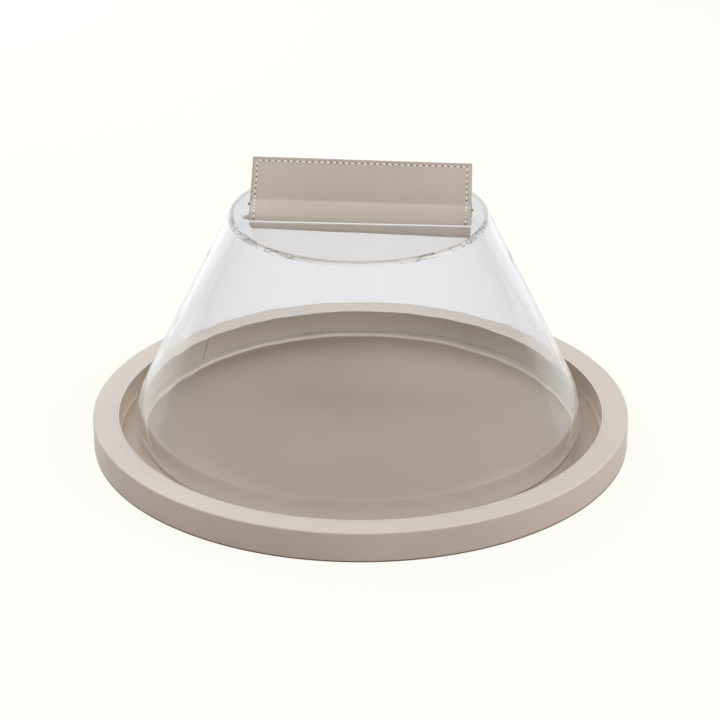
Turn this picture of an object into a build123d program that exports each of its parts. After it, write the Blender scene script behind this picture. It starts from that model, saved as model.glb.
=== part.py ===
from build123d import *
import os
from math import acos, atan2, cos, hypot, radians, sin, sqrt, tan

# Food cover: a clear cone with a leather handle, standing in a round leather tray.
# Millimetres, +Z up, origin at the middle of the tray's underside, handle along X.

# Tray
recess_radius = 159.2            # inner face of the wall lining
recess_depth = 16.2              # rim top down to the floor leather
rim_core_width = 15.5
core_edge_radius = 0.6           # rounding of the ring's outer top edge
board_thickness = 1.8
board_edge_radius = 0.5          # rounding of the board's lower edge
tray_leather = 0.7               # thickness of wrap, lining and floor leather
leather_turn_in = 9.0            # wrap folded in under the board
felt_thickness = 0.6
felt_setback = 0.8               # felt edge in from the outer wall
seam_azimuth = 138.5             # butt seam of the lining, degrees from +X
seam_lean = 22.0                 # degrees from upright
seam_gap = 0.5

# Screws from the board up into the ring
screw_count = 8
screw_radius = 1.75
screw_head_radius = 3.5
screw_tip_length = 2.0
screw_tip_radius = 0.3
screw_tip_cover = 5.0            # ring left above the tips

# Clear cover
recess_gap = 11.5                # wall lining to the widest part of a centred cover
cover_offset_x = -1.5            # where the cover was put down, from the tray's middle
cover_offset_y = 6.9
cover_height = 150.9             # floor to the top of the disc
wall_thickness = 3.0
disc_thickness = 3.0
heel_bend_radius = 23.1          # outside of the rounded heel
heel_tuck_angle = 36.0           # how far the heel curls in past upright, degrees

# Handle
handle_width = 142.2
handle_height = 36.2             # disc top to handle top
ply_thickness = 1.9
leg_offset = 18.0                # handle's middle plane to the middle of a leg
flange_slope = 12.5              # degrees below level, between crease and roll
crease_inside_radius = 0.7
roll_inside_radius = 3.0
roll_sink = 0.9                  # the roll ends this far below the disc's top
slot_clearance = 0.4             # slot wall to leg, each side
slot_end_clearance = 1.8         # slot end to leg, each end
slot_edge_land = 7.5             # slot corner to the disc's top edge
hem_rod_radius = 1.25
hem_gap = 0.3                    # disc underside to hem
rod_setback = 3.0                # rod end in from the leather's edge
filler_radius = 1.0
filler_overhang = 1.4            # cord end out from the leather's edge
stiffener_thickness = 0.8
stiffener_inset = 5.0            # stiffener's edge in from the leather's edge
stiffener_root_gap = 2.5         # stiffener's lower edge above the fork
stitch_inset = 2.3
stitch_pitch = 4.0
stitch_length = 2.6
thread_radius = 0.5

fit_gap = 0.1                    # between glued or seated pieces
overcut = 4                      # a cutter's length, in times what it cuts

# Tray levels and radii
board_bottom = felt_thickness + tray_leather
board_top = board_bottom + board_thickness
floor_top = board_top + tray_leather
rim_top = floor_top + recess_depth
core_top = rim_top - tray_leather
lining_outer_radius = recess_radius + tray_leather
core_inner_radius = lining_outer_radius + fit_gap
core_outer_radius = core_inner_radius + rim_core_width
rim_outer_radius = core_outer_radius + tray_leather
turn_in_radius = core_outer_radius - leather_turn_in

# Cover levels and radii
disc_top = floor_top + cover_height
disc_bottom = disc_top - disc_thickness
handle_top = disc_top + handle_height
slot_length = handle_width + 2 * slot_end_clearance
slot_width = ply_thickness + 2 * slot_clearance
disc_radius = hypot(slot_length / 2, leg_offset + slot_width / 2) + slot_edge_land
heel_radius = recess_radius - recess_gap
heel_centre_radius = heel_radius - heel_bend_radius
heel_centre_z = floor_top + heel_bend_radius * sin(radians(heel_tuck_angle))

# The cone is the tangent from the disc's top edge to the heel's circle
rise_to_edge = disc_top - heel_centre_z
run_to_edge = disc_radius - heel_centre_radius
edge_distance = hypot(rise_to_edge, run_to_edge)
cone_lean = atan2(rise_to_edge, run_to_edge) - acos(heel_bend_radius / edge_distance)


def cone_radius(z, depth=0.0):
    """Radius of the cone's outer face at a level, or of the face that lies depth inside it."""
    return disc_radius + (disc_top - z) * tan(cone_lean) - depth / cos(cone_lean)


def heel_point(radius, angle):
    """Point on a circle about the heel's centre, as radius from the axis and level."""
    return (heel_centre_radius + radius * cos(angle), heel_centre_z + radius * sin(angle))


def revolved(outline, corner_radii):
    """Ring or disc turned about Z from a closed outline of (radius, level) points."""
    with BuildPart() as part:
        with BuildSketch(Plane.XZ):
            with BuildLine():
                FilletPolyline(*outline, radius=corner_radii, close=True)
            make_face()
        revolve(axis=Axis.Z)
    return part.part


def screw(extra=0.0):
    """Countersunk screw standing on its head at the origin, grown by extra for its hole."""
    head = screw_head_radius + extra
    shank = screw_radius + extra
    length = core_top - screw_tip_cover - board_bottom + extra
    outline = [
        (0, 0),
        (head, 0),
        (shank, head - shank),
        (shank, length - screw_tip_length),
        (screw_tip_radius + extra, length),
        (0, length),
    ]
    return revolved(outline, 0)


def screw_places():
    return PolarLocations((core_inner_radius + core_outer_radius) / 2, screw_count)


def screw_set(extra=0.0):
    one = Pos(0, 0, board_bottom) * screw(extra)
    return [place * one for place in screw_places()]


def base_board():
    outline = [
        (0, board_bottom),
        (core_outer_radius, board_bottom),
        (core_outer_radius, board_top),
        (0, board_top),
    ]
    return revolved(outline, [0, board_edge_radius, 0, 0]) - screw_set(fit_gap)


def rim_core():
    outline = [
        (core_inner_radius, board_top),
        (core_outer_radius, board_top),
        (core_outer_radius, core_top),
        (core_inner_radius, core_top),
    ]
    return revolved(outline, [0, 0, core_edge_radius, 0]) - screw_set(fit_gap)


def rim_leather():
    outline = [
        (turn_in_radius, felt_thickness),
        (rim_outer_radius, felt_thickness),
        (rim_outer_radius, rim_top),
        (core_inner_radius, rim_top),
        (core_inner_radius, core_top),
        (core_outer_radius, core_top),
        (core_outer_radius, board_bottom),
        (turn_in_radius, board_bottom),
    ]
    radii = [
        0,
        board_edge_radius + tray_leather,
        core_edge_radius + tray_leather,
        0,
        0,
        core_edge_radius,
        board_edge_radius,
        0,
    ]
    return revolved(outline, radii)


def wall_lining():
    outline = [
        (recess_radius, floor_top),
        (lining_outer_radius, floor_top),
        (lining_outer_radius, rim_top),
        (recess_radius, rim_top),
    ]
    strip = revolved(outline, 0)
    seam = Box(overcut * tray_leather, seam_gap, overcut * recess_depth)
    middle = Pos(recess_radius + tray_leather / 2, 0, floor_top + recess_depth / 2)
    return strip - Rot(0, 0, seam_azimuth) * middle * Rot(seam_lean, 0, 0) * seam


def floor_leather():
    outline = [
        (0, board_top),
        (core_inner_radius, board_top),
        (core_inner_radius, floor_top),
        (0, floor_top),
    ]
    return revolved(outline, 0)


def underside_felt():
    felt_radius = rim_outer_radius - felt_setback
    step_radius = turn_in_radius - fit_gap
    outline = [
        (0, 0),
        (felt_radius, 0),
        (felt_radius, felt_thickness),
        (step_radius, felt_thickness),
        (step_radius, board_bottom),
        (0, board_bottom),
    ]
    return revolved(outline, 0)


def cone_shell():
    heel_inside = heel_bend_radius - wall_thickness
    foot_drop = heel_centre_z - floor_top
    foot_outside = -atan2(foot_drop, sqrt(heel_bend_radius**2 - foot_drop**2))
    foot_inside = -atan2(foot_drop, sqrt(heel_inside**2 - foot_drop**2))
    seat_outside = (cone_radius(disc_bottom), disc_bottom)
    seat_inside = (cone_radius(disc_bottom, wall_thickness), disc_bottom)
    outside = [heel_point(heel_bend_radius, a) for a in (cone_lean, 0, foot_outside)]
    inside = [heel_point(heel_inside, a) for a in (foot_inside, 0, cone_lean)]
    with BuildPart() as part:
        with BuildSketch(Plane.XZ):
            with BuildLine():
                Line(seat_outside, outside[0])
                ThreePointArc(*outside)
                Line(outside[2], inside[0])
                ThreePointArc(*inside)
                Line(inside[2], seat_inside)
                Line(seat_inside, seat_outside)
            make_face()
        revolve(axis=Axis.Z)
    return part.part


def top_disc():
    outline = [
        (0, disc_bottom),
        (cone_radius(disc_bottom), disc_bottom),
        (disc_radius, disc_top),
        (0, disc_top),
    ]
    with BuildPart() as part:
        add(revolved(outline, 0))
        with BuildSketch(Plane.XY.offset(disc_top)):
            with Locations((0, -leg_offset), (0, leg_offset)):
                SlotOverall(slot_length, slot_width)
        extrude(amount=-disc_thickness, mode=Mode.SUBTRACT)
    return part.part


# Handle section, front ply, as Y and Z: upright, crease, flange, roll, leg and hem
slope = radians(flange_slope)
half_turn = radians(90 - flange_slope) / 2
ply_half = ply_thickness / 2
foot_z = disc_top + (roll_inside_radius + ply_half) * tan(half_turn) - roll_sink
hem_inside = hem_rod_radius + fit_gap
hem_outside = hem_inside + ply_thickness
leg_front = -leg_offset - ply_half
leg_back = -leg_offset + ply_half
hem_y = leg_front + hem_outside
hem_z = disc_bottom - hem_gap - hem_outside
crease_outside_radius = crease_inside_radius + ply_thickness


def flange_z(y, side):
    """Level of the flange at y: its upper face for side 1, its lower face for side -1."""
    return foot_z + (y + leg_offset) * tan(slope) + side * ply_half / cos(slope)


# Where the two plies part, at the handle's middle plane
fork_z = flange_z(0, -1) + crease_outside_radius * tan(half_turn)


def front_ply():
    section = [
        (-ply_thickness, handle_top),
        (-ply_thickness, flange_z(-ply_thickness, 1)),
        (leg_front, flange_z(leg_front, 1)),
        (leg_front, hem_z),
        (leg_back, hem_z),
        (leg_back, flange_z(leg_back, -1)),
        (0, flange_z(0, -1)),
        (0, handle_top),
    ]
    radii = [
        0,
        crease_inside_radius,
        roll_inside_radius + ply_thickness,
        0,
        0,
        roll_inside_radius,
        crease_outside_radius,
        0,
    ]
    with BuildPart() as part:
        with BuildSketch(Plane.YZ):
            with BuildLine():
                FilletPolyline(*section, radius=radii, close=True)
            make_face()
            with Locations((hem_y, hem_z)):
                Circle(hem_outside)
                Circle(hem_inside, mode=Mode.SUBTRACT)
        extrude(amount=handle_width / 2, both=True)
    return part.part - stiffener()


def stiffener():
    bottom = fork_z + stiffener_root_gap
    top = handle_top - stiffener_inset
    plate = Box(handle_width - 2 * stiffener_inset, stiffener_thickness, top - bottom)
    return Pos(0, 0, (top + bottom) / 2) * plate


def rod_along_x(radius, length, y, z):
    return Pos(0, y, z) * Rot(0, 90, 0) * Cylinder(radius, length)


def filler_cord():
    reach = crease_outside_radius + filler_radius + fit_gap
    drop = sqrt(reach**2 - crease_outside_radius**2)
    return rod_along_x(filler_radius, handle_width + 2 * filler_overhang, 0, fork_z - drop)


def front_hem_rod():
    return rod_along_x(hem_rod_radius, handle_width - 2 * rod_setback, hem_y, hem_z)


def stitch():
    """One half-round thread lying on the XY plane, along X."""
    with BuildPart() as part:
        with BuildSketch(Plane.YZ):
            Circle(thread_radius)
            Rectangle(2 * thread_radius, thread_radius, align=(Align.CENTER, Align.MAX), mode=Mode.SUBTRACT)
        extrude(amount=stitch_length / 2, both=True)
    return part.part


def row_steps(length):
    """Distances of stitch middles along a row of the given length, evenly spaced."""
    count = max(1, round(length / stitch_pitch))
    return [(i + 0.5) * length / count for i in range(count)]


def front_stitches():
    one = stitch()
    face_out = (0, -1, 0)
    row_x = handle_width / 2 - stitch_inset
    row_z = handle_top - stitch_inset
    flange_start = -ply_thickness - crease_outside_radius
    flange_end = leg_front + roll_inside_radius + ply_thickness
    flange_length = (flange_start - flange_end) / cos(slope)
    threads = []
    for step in row_steps(2 * row_x):
        threads.append(Plane((-row_x + step, -ply_thickness, row_z), (1, 0, 0), face_out) * one)
    for x in (-row_x, row_x):
        for step in row_steps(row_z - fork_z):
            threads.append(Plane((x, -ply_thickness, row_z - step), (0, 0, 1), face_out) * one)
        for step in row_steps(flange_length):
            y = flange_start - step * cos(slope)
            along = (0, -cos(slope), -sin(slope))
            face_up = (0, -sin(slope), cos(slope))
            threads.append(Plane((x, y, flange_z(y, 1)), along, face_up) * one)
    return threads


def mirrored(solid):
    return mirror(solid, about=Plane.XZ)


front = front_ply()
front_rod = front_hem_rod()
threads = front_stitches()
threads += [mirrored(thread) for thread in threads]

tray_nodes = {
    "base_board": base_board(),
    "rim_core": rim_core(),
    "rim_screws": Compound(children=screw_set()),
    "rim_leather": rim_leather(),
    "wall_lining": wall_lining(),
    "floor_leather": floor_leather(),
    "underside_felt": underside_felt(),
}
cover_nodes = {
    "cone_shell": cone_shell(),
    "top_disc": top_disc(),
    "handle_front_leather": front,
    "handle_back_leather": mirrored(front),
    "handle_stiffener": stiffener(),
    "handle_filler_cord": filler_cord(),
    "front_hem_rod": front_rod,
    "back_hem_rod": mirrored(front_rod),
}

# The cover is modelled about the tray's axis and then set where it stands
cover_place = Pos(cover_offset_x, cover_offset_y, 0)
nodes = dict(tray_nodes)
for name, shape in cover_nodes.items():
    nodes[name] = cover_place * shape
nodes["handle_stitching"] = Compound(children=[cover_place * thread for thread in threads])

os.makedirs("parts", exist_ok=True)
for name, shape in nodes.items():
    export_step(shape, f"parts/{name}.step")
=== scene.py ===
from math import acos, asin, atan2, ceil, cos, exp, hypot, pi, radians, sin, sqrt, tan

import bmesh
import bpy
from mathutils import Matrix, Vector, noise
from mathutils.geometry import delaunay_2d_cdt


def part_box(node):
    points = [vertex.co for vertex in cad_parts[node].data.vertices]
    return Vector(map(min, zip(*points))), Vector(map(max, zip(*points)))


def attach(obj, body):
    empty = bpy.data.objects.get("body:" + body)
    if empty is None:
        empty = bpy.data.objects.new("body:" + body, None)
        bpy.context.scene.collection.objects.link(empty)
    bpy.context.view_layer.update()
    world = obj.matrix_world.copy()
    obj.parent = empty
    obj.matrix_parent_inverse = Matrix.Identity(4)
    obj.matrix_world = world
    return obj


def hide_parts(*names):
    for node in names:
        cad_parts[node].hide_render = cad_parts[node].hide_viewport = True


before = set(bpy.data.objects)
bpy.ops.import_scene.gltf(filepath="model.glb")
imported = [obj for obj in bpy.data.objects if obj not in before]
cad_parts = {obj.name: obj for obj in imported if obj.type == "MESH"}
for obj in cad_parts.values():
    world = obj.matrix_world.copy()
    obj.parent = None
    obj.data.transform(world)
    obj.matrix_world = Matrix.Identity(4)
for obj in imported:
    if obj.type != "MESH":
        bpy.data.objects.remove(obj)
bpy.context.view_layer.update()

# Looks of a food cover: a clear acrylic cone with a stitched leather handle in a leather tray.
# Metres, in the frame's own axes: +Z up, handle along X, the front towards -Y.

MM = 0.001

# Photograph's camera
PHOTO_PIXELS = 720
FOCAL_PIXELS = 2537.0
SENSOR_WIDTH = 36.0
CAMERA_AZIMUTH = radians(3.6)
CAMERA_TILT = radians(24.68)
CAMERA_DISTANCE = 1512 * MM  # along the table, from the tray's middle
CAMERA_HEIGHT = 748 * MM
CAMERA_SIDE_STEP = -0.4 * MM

# Tray sizes that the frame's boxes don't give
LEATHER = 0.7 * MM
RIM_EDGE = 1.3 * MM  # outer rounding of the wrap's top edge
RIM_FOOT_EDGE = 0.9 * MM
RIM_INNER_EDGE = 0.4 * MM
RIM_GAP = 0.05 * MM  # between the wrap's inner edge and the lining
TURN_IN = 9.0 * MM
FELT_SPREAD = 0.6 * MM  # the pad reaches out to the wrap's edge, where it shows as a thin dark line below it
FELT_EDGE = 0.15 * MM
FELT_GAP = 0.1 * MM  # between the turned-in leather and the pad's step
FLOOR_GAP = 0.1 * MM  # between the floor's leather and the wall
SEAM_AZIMUTH = radians(138.5)
SEAM_LEAN = radians(22)
SEAM_GAP = 1.3 * MM
SEAM_CURL = 0.8 * MM  # how far the lining's ends lift off the wall
SEAM_CURL_LENGTH = 3 * MM
LINING_EDGE = 0.3 * MM
LINING_LIP = 1.1 * MM  # how far the lining's lower edge stands off the wall, left and right
LINING_LIP_HEIGHT = 2.2 * MM
LINING_LIFT = 0.25 * MM  # gap under that edge, left and right

# Wavelength and height of the unevenness of the glued leather
RIM_RIPPLE = (45 * MM, 0.10 * MM)
LINING_RIPPLE = (30 * MM, 0.06 * MM)
FLOOR_RIPPLE = (70 * MM, 0.10 * MM)

# Cover sizes
WALL = 3.0 * MM
FOOT_WALL = 1.4 * MM  # the inside is eased away towards the foot
HEEL_BEND = 23.1 * MM
HEEL_TUCK = radians(36)
EDGE_BREAK = 0.25 * MM  # polished edges of the acrylic
FOOT_GRIND = 1.2 * MM  # height to which the sawn foot is ground on its outside
CEMENT_BEAD = 0.6 * MM  # cement squeezed out inside the joint
JOINT_OVERLAP = 0.02 * MM  # how far the disc sinks into the cone's top, too little to see

# Handle sizes
PLY = 1.9 * MM
EDGE_ROUNDING = 0.75 * PLY
LEG_OFFSET = 18.0 * MM
FLANGE_SLOPE = radians(12)
CREASE_INSIDE = 2.2 * MM
ROLL_INSIDE = 3.4 * MM
ROLL_SINK = 0.9 * MM
HEM_GAP = 0.3 * MM
HEM_TURN = radians(300)  # how far round the hem's loop goes
SLOT_CLEARANCE = 0.7 * MM
SLOT_END_CLEARANCE = 1.8 * MM
STITCH_INSET = 3.0 * MM
TOP_INSET = 1.6 * MM  # the top row runs closer to its edge
RIGHT_INSET = 0.4 * MM  # the right row runs further in by this much
STITCH_RUN_ON = 0.5 * MM  # the side rows run past the flange by this much
STITCH_PITCH = 4.0 * MM
STITCH_LENGTH = 2.5 * MM
STITCH_PULL = 0.25 * MM  # how far the thread pulls the leather in
GROOVE_WIDTH = 0.75 * MM
THREAD_RADIUS = 0.52 * MM
THREAD_RISE = 0.08 * MM  # middle of the thread above the leather
THREAD_DIP = 0.5 * MM  # how far it dips at its ends
TWIST_DEPTH = 0.12  # of the thread's two plies, as a share of its radius
TWIST_TURN = 6  # radians of twist along a stitch
HOLE_UNDERCUT = 0.35 * MM  # how far a needle hole reaches under its stitches
HOLE_WIDTH = 0.42 * MM
HOLE_HEIGHT = 0.10 * MM
HOLE_PROUD = 0.02 * MM  # its middle above the groove's bottom
CORD_TIP = 0.1 * MM
CORD_END_ROUNDING = 0.95  # as a share of the cord's radius

# Unevenness of the sewn handle
HANDLE_SHIFT = 1.0 * MM  # sits off the disc's middle, along X
LEFT_LEAN = 2.5 * MM  # the left edge leans in towards its top
TOP_DROP_LEFT = 0.2 * MM
TOP_DROP_RIGHT = 1.9 * MM
CREASE_SAG = 1.6 * MM  # the crease is lower on the right
LEFT_TUCK = 1.0 * MM  # the left edge is drawn in towards its slot
HEM_SAG = 1.06  # the hem's depth under the disc, against the CAD model's
HEM_SKEW = 0.25  # the hem hangs lower on the right by this share
HEM_TAPER = 0.13  # the hem's left end slants in by this share of its depth
ROLL_FLARE = 4.4 * MM  # the left edge bulges out where the leather rolls into its slot
RIGHT_FLARE = 0.9 * MM  # the same on the right
FLARE_RISE = 1.1 * MM  # middle of that bulge above the disc
FLARE_HEIGHT = 0.85 * MM
FLARE_REACH = 2.6 * MM  # how far in from the edge it starts
CORD_DROP = 0.9 * MM  # the cord sits lower in the softened fork

# Fineness of the meshes
TRAY_SEGMENTS = 384
COVER_SEGMENTS = 512
ROUND_STEPS = 8  # facets in a rounded corner
BEND_STEPS = 14  # facets in the handle's crease and roll
HEEL_STEPS = 60
HEM_STEPS = 40
SLOT_END_STEPS = 12
EDGE_ZONE = 6 * MM  # finer strip by the handle's top edge and above its crease
EDGE_STEP = 0.35 * MM
EDGE_COLUMNS = 17
FLAT_STEP = 1.5 * MM
FLAT_COLUMNS = 60
BEND_STEP = 0.5 * MM
PAINTED_FACES = 3  # rows of faces by the handle's cut edges that are painted

# Tolerances
TINY = 1e-6
ON_AXIS = 1e-7
WELD = 1e-8
TRIANGULATION = 1e-9

# Places read from the frame
rim_low, rim_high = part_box("rim_leather")
lining_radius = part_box("wall_lining")[1].x
floor_low, floor_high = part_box("floor_leather")
felt_low, felt_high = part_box("underside_felt")
cone_low, cone_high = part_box("cone_shell")
disc_low, disc_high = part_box("top_disc")
ply_low, ply_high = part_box("handle_front_leather")
cord_low, cord_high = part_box("handle_filler_cord")

rim_radius = rim_high.x
rim_top = rim_high.z
recess_radius = lining_radius - LEATHER
floor_top = floor_high.z
cover_middle = (cone_low + cone_high) / 2
heel_radius = (cone_high.x - cone_low.x) / 2
disc_bottom = disc_low.z
disc_top = disc_high.z
disc_foot_radius = (disc_high.x - disc_low.x) / 2
handle_half = (ply_high.x - ply_low.x) / 2
handle_top = ply_high.z


# Geometry helpers

def within(value):
    """Value kept between 0 and 1."""
    return min(1.0, max(0.0, value))


def turns(count):
    """Angles of a full turn in equal steps."""
    return [2 * pi * k / count for k in range(count)]


def rounded(points, radii, closed=True, steps=ROUND_STEPS):
    """Polygon or path whose corners are replaced by arcs of the given radii."""
    count = len(points)
    out = []
    for i, point in enumerate(points):
        radius = radii[i]
        if radius <= 0 or (not closed and i in (0, count - 1)):
            out.append(tuple(point))
            continue
        here = Vector(point)
        back = (Vector(points[i - 1]) - here).normalized()
        ahead = (Vector(points[(i + 1) % count]) - here).normalized()
        half = back.angle(ahead) / 2
        start = here + back * (radius / tan(half))
        middle = here + (back + ahead).normalized() * (radius / sin(half))
        arm = start - middle
        turn = pi - 2 * half
        if back.cross(ahead) > 0:
            turn = -turn
        for k in range(steps + 1):
            c, s = cos(turn * k / steps), sin(turn * k / steps)
            out.append((middle.x + arm.x * c - arm.y * s, middle.y + arm.x * s + arm.y * c))
    return out


def refined(points, step):
    """The same closed outline with points added so that no run is longer than step."""
    out = []
    for i, point in enumerate(points):
        a = Vector(point)
        b = Vector(points[(i + 1) % len(points)])
        pieces = max(1, ceil((b - a).length / step))
        out += [tuple(a.lerp(b, k / pieces)) for k in range(pieces)]
    return out


def mesh_object(name, vertices, faces, middle=None, sharp_degrees=40, slots=None):
    """Smooth-shaded mesh object with outward normals and hard edges past an angle, set about a middle."""
    x, y = (middle.x, middle.y) if middle else (0, 0)
    mesh = bpy.data.meshes.new(name)
    mesh.from_pydata([(v[0] + x, v[1] + y, v[2]) for v in vertices], [], faces)
    if slots:
        mesh.polygons.foreach_set("material_index", slots)
    work = bmesh.new()
    work.from_mesh(mesh)
    bmesh.ops.remove_doubles(work, verts=work.verts, dist=WELD)
    bmesh.ops.recalc_face_normals(work, faces=work.faces)
    work.to_mesh(mesh)
    work.free()
    mesh.polygons.foreach_set("use_smooth", [True] * len(mesh.polygons))
    mesh.set_sharp_from_angle(angle=radians(sharp_degrees))
    obj = bpy.data.objects.new(name, mesh)
    bpy.context.scene.collection.objects.link(obj)
    return obj


def lathe(name, outline, segments, shift=None, middle=None, sharp_degrees=40, slot_of=None):
    """Closed outline of (radius, level) points turned about Z.

    shift moves a point, given its azimuth, and slot_of gives the material slot between two points.
    """
    vertices = []
    rings = []
    for r, z in outline:
        if r < ON_AXIS:
            rings.append([len(vertices)] * segments)
            vertices.append((0, 0, z))
            continue
        ring = []
        for a in turns(segments):
            moved_r, moved_z = shift(r, z, a) if shift else (r, z)
            ring.append(len(vertices))
            vertices.append((moved_r * cos(a), moved_r * sin(a), moved_z))
        rings.append(ring)
    faces = []
    slots = []
    for i, ring in enumerate(rings):
        following = (i + 1) % len(rings)
        other = rings[following]
        slot = slot_of(outline[i], outline[following]) if slot_of else 0
        for k in range(segments):
            n = (k + 1) % segments
            corners = list(dict.fromkeys([ring[k], ring[n], other[n], other[k]]))
            if len(corners) > 2:
                faces.append(corners)
                slots.append(slot)
    return mesh_object(name, vertices, faces, middle, sharp_degrees, slots)


def ring_faces(base, rings, around):
    """Faces between rings of points that follow each other from base on."""
    faces = []
    for i in range(rings - 1):
        low = base + i * around
        high = low + around
        for k in range(around):
            n = (k + 1) % around
            faces.append([low + k, low + n, high + n, high + k])
    return faces


def tube_faces(base, rings, around):
    """Faces of a tube of such rings, closed at both ends."""
    ends = [base, base + (rings - 1) * around]
    return ring_faces(base, rings, around) + [[end + k for k in range(around)] for end in ends]


def ripple(x, y, z, wavelength, height):
    """Small smooth unevenness of a hand-covered surface, never above it."""
    return height * abs(noise.noise(Vector((x, y, z)) / wavelength))


# Node helpers

def new_material(name):
    """Material with its node tree, which holds an output alone."""
    material = bpy.data.materials.new(name)
    material.use_nodes = True
    tree = material.node_tree
    tree.nodes.clear()
    output = tree.nodes.new("ShaderNodeOutputMaterial")
    return material, tree, output


def add_node(tree, kind, inputs=None, **settings):
    """New node with settings as attributes, and inputs as values or as sockets to link."""
    node = tree.nodes.new(kind)
    for key, value in settings.items():
        setattr(node, key, value)
    for key, value in (inputs or {}).items():
        if isinstance(value, bpy.types.NodeSocket):
            tree.links.new(value, node.inputs[key])
        else:
            node.inputs[key].default_value = value
    return node


def object_place(tree):
    """Place on the object, which is its place in the frame."""
    return add_node(tree, "ShaderNodeTexCoord").outputs["Object"]


def axes_of(tree, vector):
    """X, Y and Z of a vector."""
    return add_node(tree, "ShaderNodeSeparateXYZ", {"Vector": vector}).outputs


def slant(tree):
    """How far a surface is seen aslant, from 0 square on to 1 edge on."""
    return add_node(tree, "ShaderNodeLayerWeight", {"Blend": 0.5}).outputs["Facing"]


def clouds(tree, place, scale, detail=0.0, roughness=0.5, distortion=0.0):
    """Noise of a scale per metre, as value and colour."""
    inputs = {"Vector": place, "Scale": scale, "Detail": detail}
    inputs |= {"Roughness": roughness, "Distortion": distortion}
    return add_node(tree, "ShaderNodeTexNoise", inputs).outputs


def ramp(tree, source, stops):
    """Colour ramp of (place, colour) stops, driven by a value."""
    node = add_node(tree, "ShaderNodeValToRGB", {"Fac": source})
    elements = node.color_ramp.elements
    while len(elements) < len(stops):
        elements.new(0.5)
    for element, (place, colour) in zip(elements, stops):
        element.position = place
        element.color = (*colour, 1)
    return node.outputs["Color"]


def two_tone(tree, source, colour, spread, over=(0.35, 0.65)):
    """Colour that drifts by a share to both sides as the source runs over a range."""
    tones = [tuple(min(1.0, share * c) for c in colour) for share in (1 - spread, 1 + spread)]
    return ramp(tree, source, list(zip(over, tones)))


def ranged(tree, source, values, over=(0.0, 1.0)):
    """Value that goes from the first of values to the second as the source runs over a range."""
    inputs = {"Value": source, "From Min": over[0], "From Max": over[1]}
    inputs |= {"To Min": values[0], "To Max": values[1]}
    return add_node(tree, "ShaderNodeMapRange", inputs).outputs["Result"]


def chained(tree, operation, *values):
    """Values joined two by two, such as by MULTIPLY or MAXIMUM."""
    last = values[0]
    for value in values[1:]:
        last = add_node(tree, "ShaderNodeMath", {0: last, 1: value}, operation=operation).outputs["Value"]
    return last


def size_of(tree, value):
    """Value without its sign."""
    return add_node(tree, "ShaderNodeMath", {0: value}, operation="ABSOLUTE").outputs["Value"]


def vector_maths(tree, operation, first, second):
    return add_node(tree, "ShaderNodeVectorMath", {0: first, 1: second}, operation=operation).outputs


def mixed(tree, share, first, second, blend_type="MIX"):
    """Colour that turns from the first into the second by a share. Each is a socket or a colour."""
    inputs = {"Factor": share, "A": first, "B": second}
    inputs = {key: (*value, 1) if isinstance(value, tuple) else value for key, value in inputs.items()}
    return add_node(tree, "ShaderNodeMix", inputs, data_type="RGBA", blend_type=blend_type).outputs["Result"]


def mixed_shader(tree, share, first, second):
    """Shader that turns from the first into the second by a share."""
    return add_node(tree, "ShaderNodeMixShader", {0: share, 1: first, 2: second}).outputs["Shader"]


def bumped(tree, height, strength, distance):
    """Normal of a surface that a height moves by up to a distance."""
    inputs = {"Height": height, "Strength": strength, "Distance": distance}
    return add_node(tree, "ShaderNodeBump", inputs).outputs["Normal"]


def principled(tree, inputs):
    return add_node(tree, "ShaderNodeBsdfPrincipled", inputs).outputs["BSDF"]


# Shares of the leather's other colour, by place

def sheen_facing_up(tree, place):
    """Share of the painted sheen on the rim's top, which grows from 0 on upright faces to 1 on level ones,
    wherever they are.
    """
    normal = add_node(tree, "ShaderNodeNewGeometry").outputs["Normal"]
    return ranged(tree, axes_of(tree, normal)["Z"], (0.0, 1.0), over=(0.2, 0.9))


def floor_light_share(tree, place):
    """Share of painted light on the floor, which grows to 1 outside the cover's foot, and part of the way by
    its front and to its right.
    """
    level = Vector((1, 1, 0))
    flat = vector_maths(tree, "MULTIPLY", place, level)["Vector"]
    from_axis = vector_maths(tree, "DISTANCE", flat, cover_middle * level)["Value"]
    axes = axes_of(tree, place)
    outside = ranged(tree, from_axis, (0.0, 1.0), over=(heel_radius - 9 * MM, heel_radius - 2 * MM))
    less_on_right = ranged(tree, axes["X"], (1.0, 0.82), over=(90 * MM, 150 * MM))
    by_foot = ranged(tree, from_axis, (0.0, 0.9), over=(95 * MM, 118 * MM))
    at_front = ranged(tree, axes["Y"], (1.0, 0.0), over=(-60 * MM, 10 * MM))
    more_on_right = ranged(tree, axes["X"], (0.4, 0.57), over=(-100 * MM, 100 * MM))
    # The floor is painted lighter outside the cover's foot, by the front of its foot and towards the front
    # and the right, as painted light.
    return chained(
        tree,
        "MAXIMUM",
        chained(tree, "MULTIPLY", outside, less_on_right),
        chained(tree, "MULTIPLY", by_foot, at_front, more_on_right),
        ranged(tree, axes["Y"], (0.118, 0.0), over=(-25 * MM, 50 * MM)),
        ranged(tree, axes["X"], (0.0, 0.33), over=(-25 * MM, 100 * MM)),
    )


def lining_light_share(tree, place):
    """Share of painted light on the lining, which falls from 1 at the front and sides of the tray to 0 at
    its back, where the lining is left darker as painted shade.
    """
    depths = (0.1 * lining_radius, 0.35 * lining_radius)
    return ranged(tree, axes_of(tree, place)["Y"], (1.0, 0.0), over=depths)


def slot_shade_share(tree, place):
    """Share of painted shade on the handle, which grows from 0 on its flange to 1 on its roll, and is half
    of that on the hem.
    """
    height = axes_of(tree, place)["Z"]
    on_roll = ranged(tree, height, (1.0, 0.0), over=(disc_top + 2 * MM, disc_top + 5.5 * MM))
    above_hem = ranged(tree, height, (0.5, 1.0), over=(disc_bottom - 1 * MM, disc_top))
    return chained(tree, "MULTIPLY", on_roll, above_hem)


# Materials

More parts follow.
